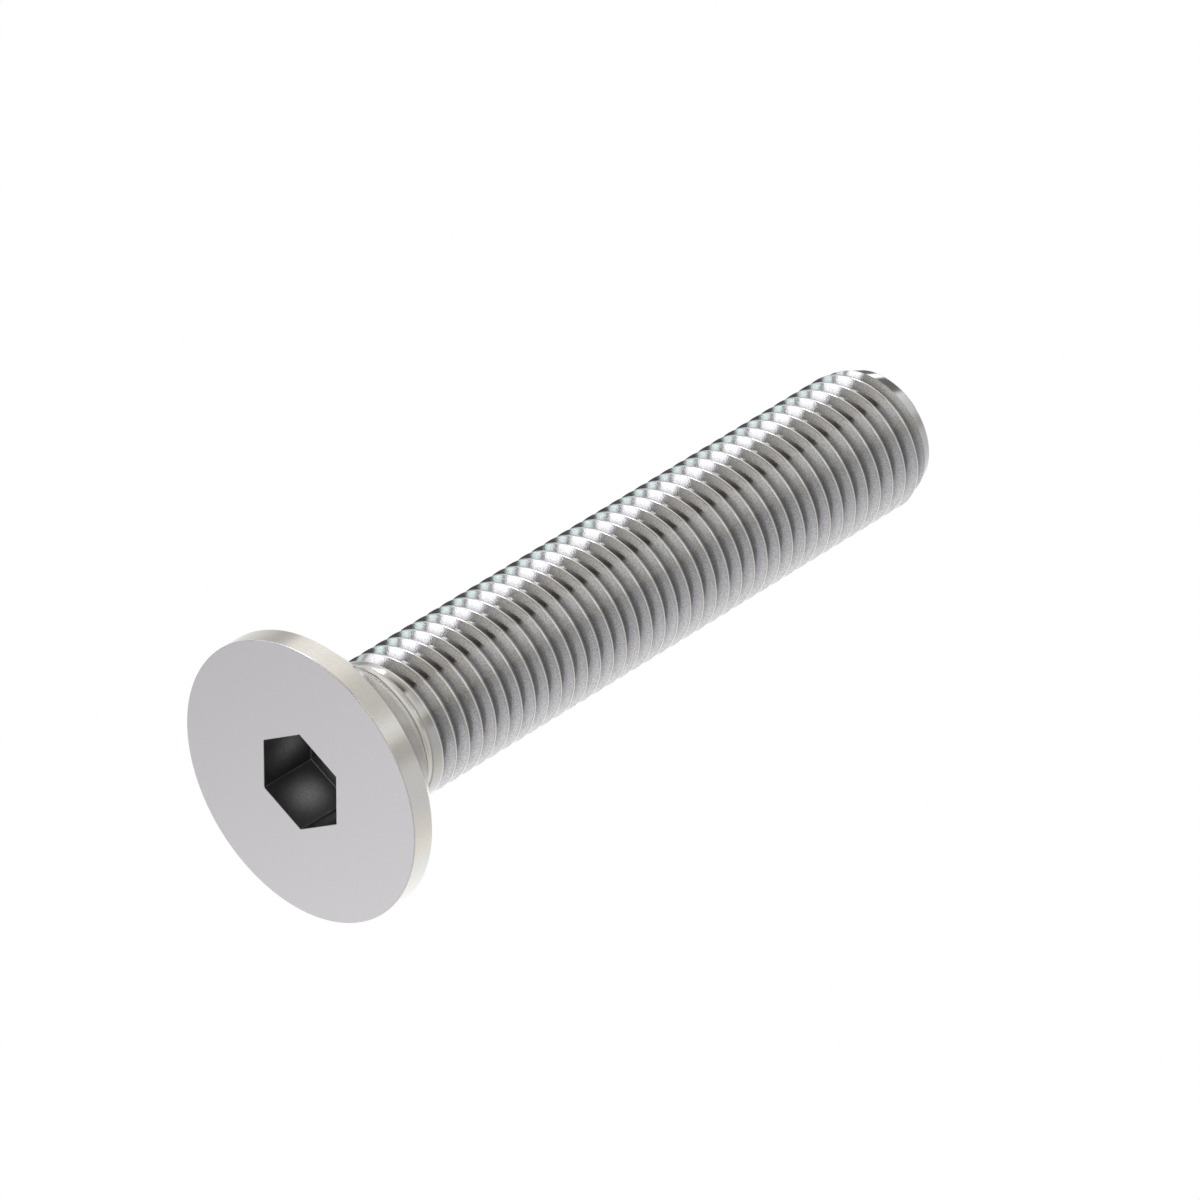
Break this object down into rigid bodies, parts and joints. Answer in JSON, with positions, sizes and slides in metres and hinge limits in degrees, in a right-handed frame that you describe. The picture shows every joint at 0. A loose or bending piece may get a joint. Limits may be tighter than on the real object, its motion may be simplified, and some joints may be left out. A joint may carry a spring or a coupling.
{
  "type": "countersunk screw",
  "caption": "Flat-head countersunk machine screw with a hexagon socket drive and a fine right-hand metric thread almost up to the head, in stainless steel.",
  "frame": {"origin": "centre of the flat head face, which lies on Z = 0, so the screw stands on its head", "axes": "+Z along the shank from the head face to the tip; a corner of the hexagon socket points along +X"},
  "size_m": [0.0158, 0.0158, 0.045],
  "materials": {
    "stainless_steel": "turned and rolled stainless steel, satin face, bright rim and thread"
  },
  "bodies": {
    "root": {"screw": "stainless_steel"}
  },
  "joints": []
}
